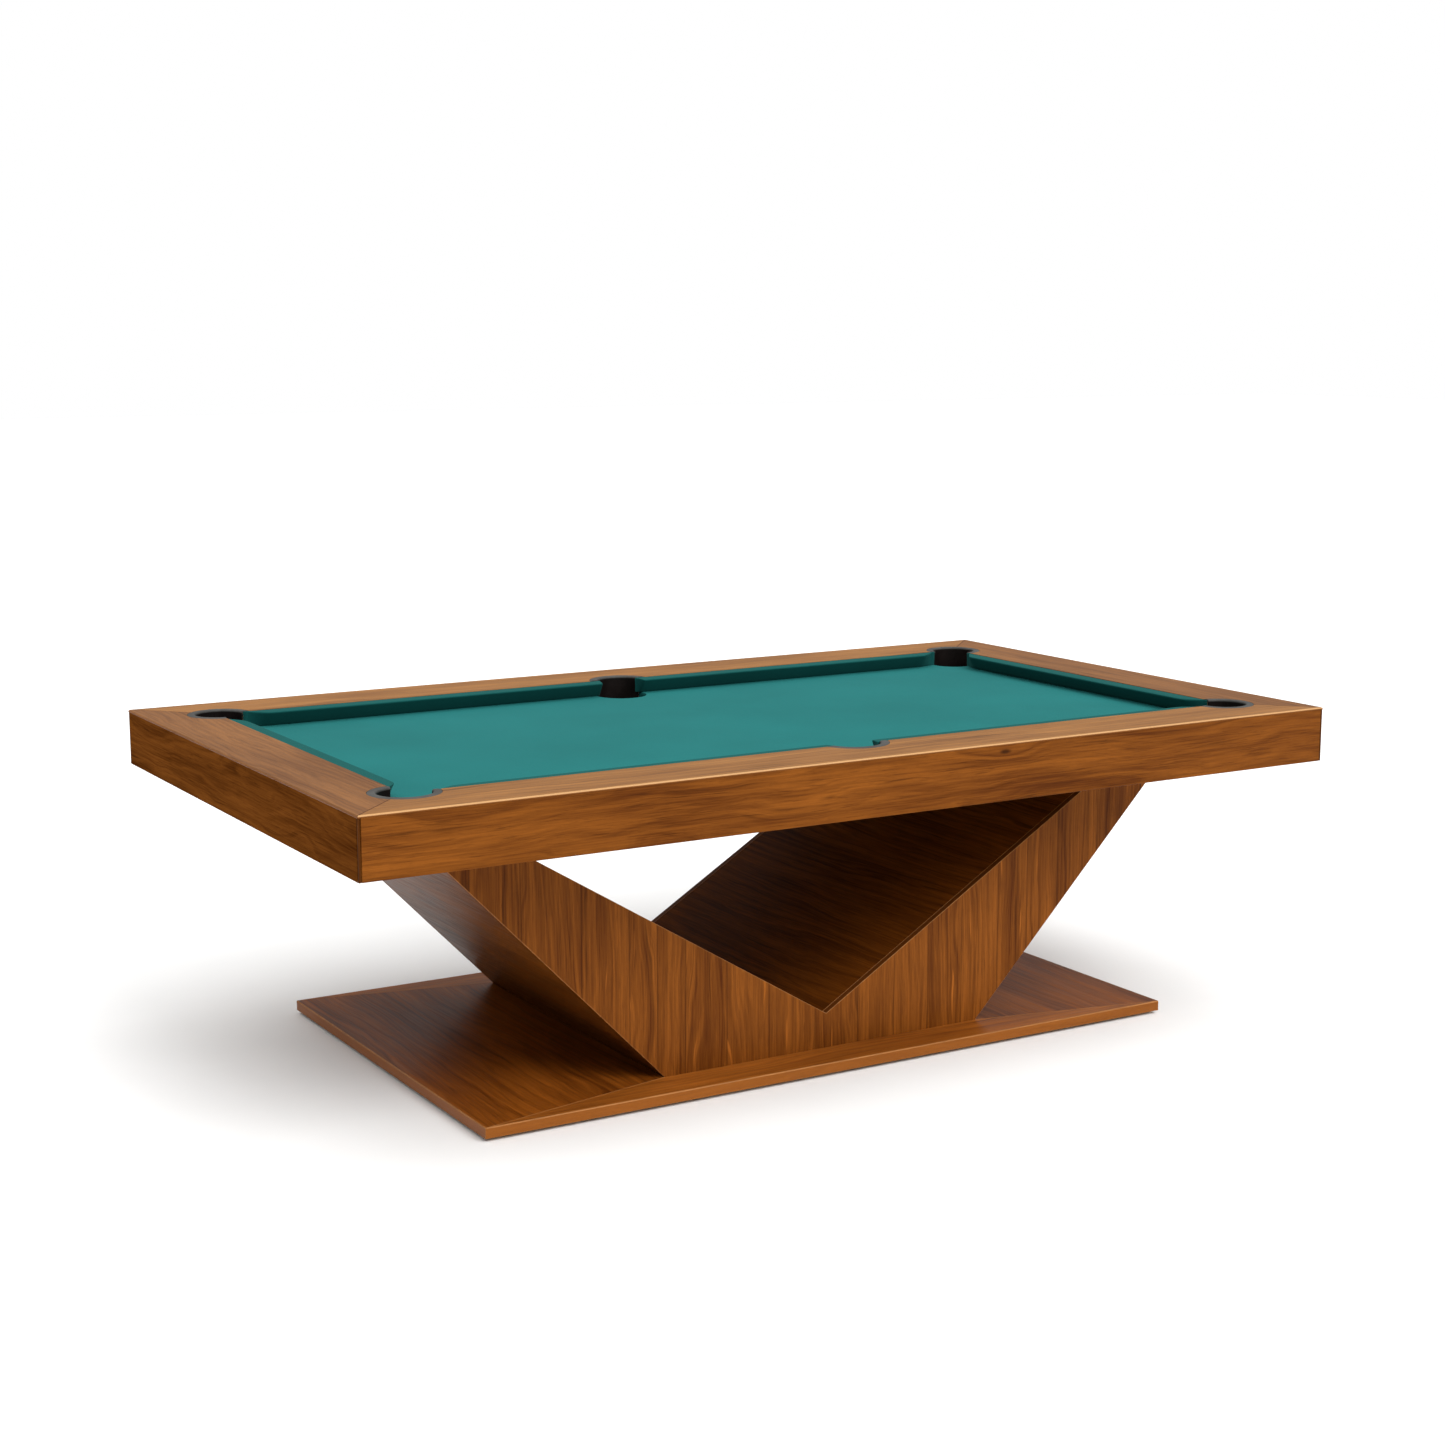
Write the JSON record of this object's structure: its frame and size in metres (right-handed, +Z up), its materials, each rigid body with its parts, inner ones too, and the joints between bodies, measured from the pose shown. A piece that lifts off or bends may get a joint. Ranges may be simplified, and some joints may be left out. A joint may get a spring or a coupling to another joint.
{
  "type": "pool table",
  "caption": "Pool table with a teal cloth bed, mitred walnut rails, drop pockets, a deep plain apron and a V pedestal on a flat base plate.",
  "frame": {"origin": "on the floor, under the middle of the table", "axes": "+X along the table, to the right seen from the front; +Y towards the back; +Z up"},
  "size_m": [2.655, 1.538, 0.811],
  "materials": {
    "walnut_veneer": "satin lacquered walnut-brown veneer, grain along each board",
    "walnut_upright": "satin lacquered walnut-brown veneer, upright grain in matched leaves",
    "walnut_rail_top": "satin lacquered veneer, lighter in tone, mitred at the corners",
    "walnut_bead": "satin lacquered solid wood",
    "plywood": "plain sealed plywood",
    "frame_timber": "planed unfinished timber",
    "slate": null,
    "bed_cloth": "worsted billiard cloth, teal green, fine weave, matt",
    "cushion_cloth": "gum rubber cushion covered in the same teal green billiard cloth",
    "pocket_liner": "moulded black plastic, fine texture, dark grey where light rakes the rim",
    "foot_steel": "zinc-plated steel",
    "insert_brass": "turned brass",
    "fastener_steel": "zinc-plated steel"
  },
  "bodies": {
    "table": {"base_core": "plywood", "base_panel_front": "walnut_veneer", "base_panel_back": "walnut_veneer", "base_panel_left": "walnut_veneer", "base_panel_right": "walnut_veneer", "levelling_inserts": "insert_brass", "pedestal_front_panel": "walnut_upright", "pedestal_back_panel": "walnut_upright", "pedestal_outer_panel_left": "walnut_veneer", "pedestal_outer_panel_right": "walnut_veneer", "pedestal_inner_panel_left": "walnut_veneer", "pedestal_inner_panel_right": "walnut_veneer", "pedestal_floor": "plywood", "pedestal_arm_top_left": "plywood", "pedestal_arm_top_right": "plywood", "pedestal_rib": "plywood", "base_bolts": "fastener_steel", "arm_bolts": "fastener_steel", "frame_beam_front": "frame_timber", "frame_beam_back": "frame_timber", "frame_cross_arm_left": "frame_timber", "frame_cross_joint_left": "frame_timber", "frame_cross_centre": "frame_timber", "frame_cross_joint_right": "frame_timber", "frame_cross_arm_right": "frame_timber", "slate_left": "slate", "slate_centre": "slate", "slate_right": "slate", "slate_screws": "fastener_steel", "bed_cloth": "bed_cloth", "rail_body_front": "frame_timber", "rail_body_back": "frame_timber", "rail_body_left": "frame_timber", "rail_body_right": "frame_timber", "rail_bolts": "fastener_steel", "rail_cap_front": "walnut_rail_top", "rail_cap_back": "walnut_rail_top", "rail_cap_left": "walnut_rail_top", "rail_cap_right": "walnut_rail_top", "apron_front": "walnut_veneer", "apron_back": "walnut_veneer", "apron_left": "walnut_veneer", "apron_right": "walnut_veneer", "corner_beads": "walnut_bead", "cushion_front_left": "cushion_cloth", "cushion_front_right": "cushion_cloth", "cushion_back_left": "cushion_cloth", "cushion_back_right": "cushion_cloth", "cushion_left": "cushion_cloth", "cushion_right": "cushion_cloth", "pocket_front_left": "pocket_liner", "pocket_front_right": "pocket_liner", "pocket_back_left": "pocket_liner", "pocket_back_right": "pocket_liner", "pocket_side_front": "pocket_liner", "pocket_side_back": "pocket_liner"},
    "foot_front_left": {"levelling_foot_front_left": "foot_steel"},
    "foot_front_right": {"levelling_foot_front_right": "foot_steel"},
    "foot_back_left": {"levelling_foot_back_left": "foot_steel"},
    "foot_back_right": {"levelling_foot_back_right": "foot_steel"}
  },
  "joints": [
    {"name": "foot_front_left_screw", "type": "slide", "parent": "table", "child": "foot_front_left", "axis": [0, 0, -1], "range_m": [0, 0.012]},
    {"name": "foot_front_right_screw", "type": "slide", "parent": "table", "child": "foot_front_right", "axis": [0, 0, -1], "range_m": [0, 0.012]},
    {"name": "foot_back_left_screw", "type": "slide", "parent": "table", "child": "foot_back_left", "axis": [0, 0, -1], "range_m": [0, 0.012]},
    {"name": "foot_back_right_screw", "type": "slide", "parent": "table", "child": "foot_back_right", "axis": [0, 0, -1], "range_m": [0, 0.012]}
  ]
}
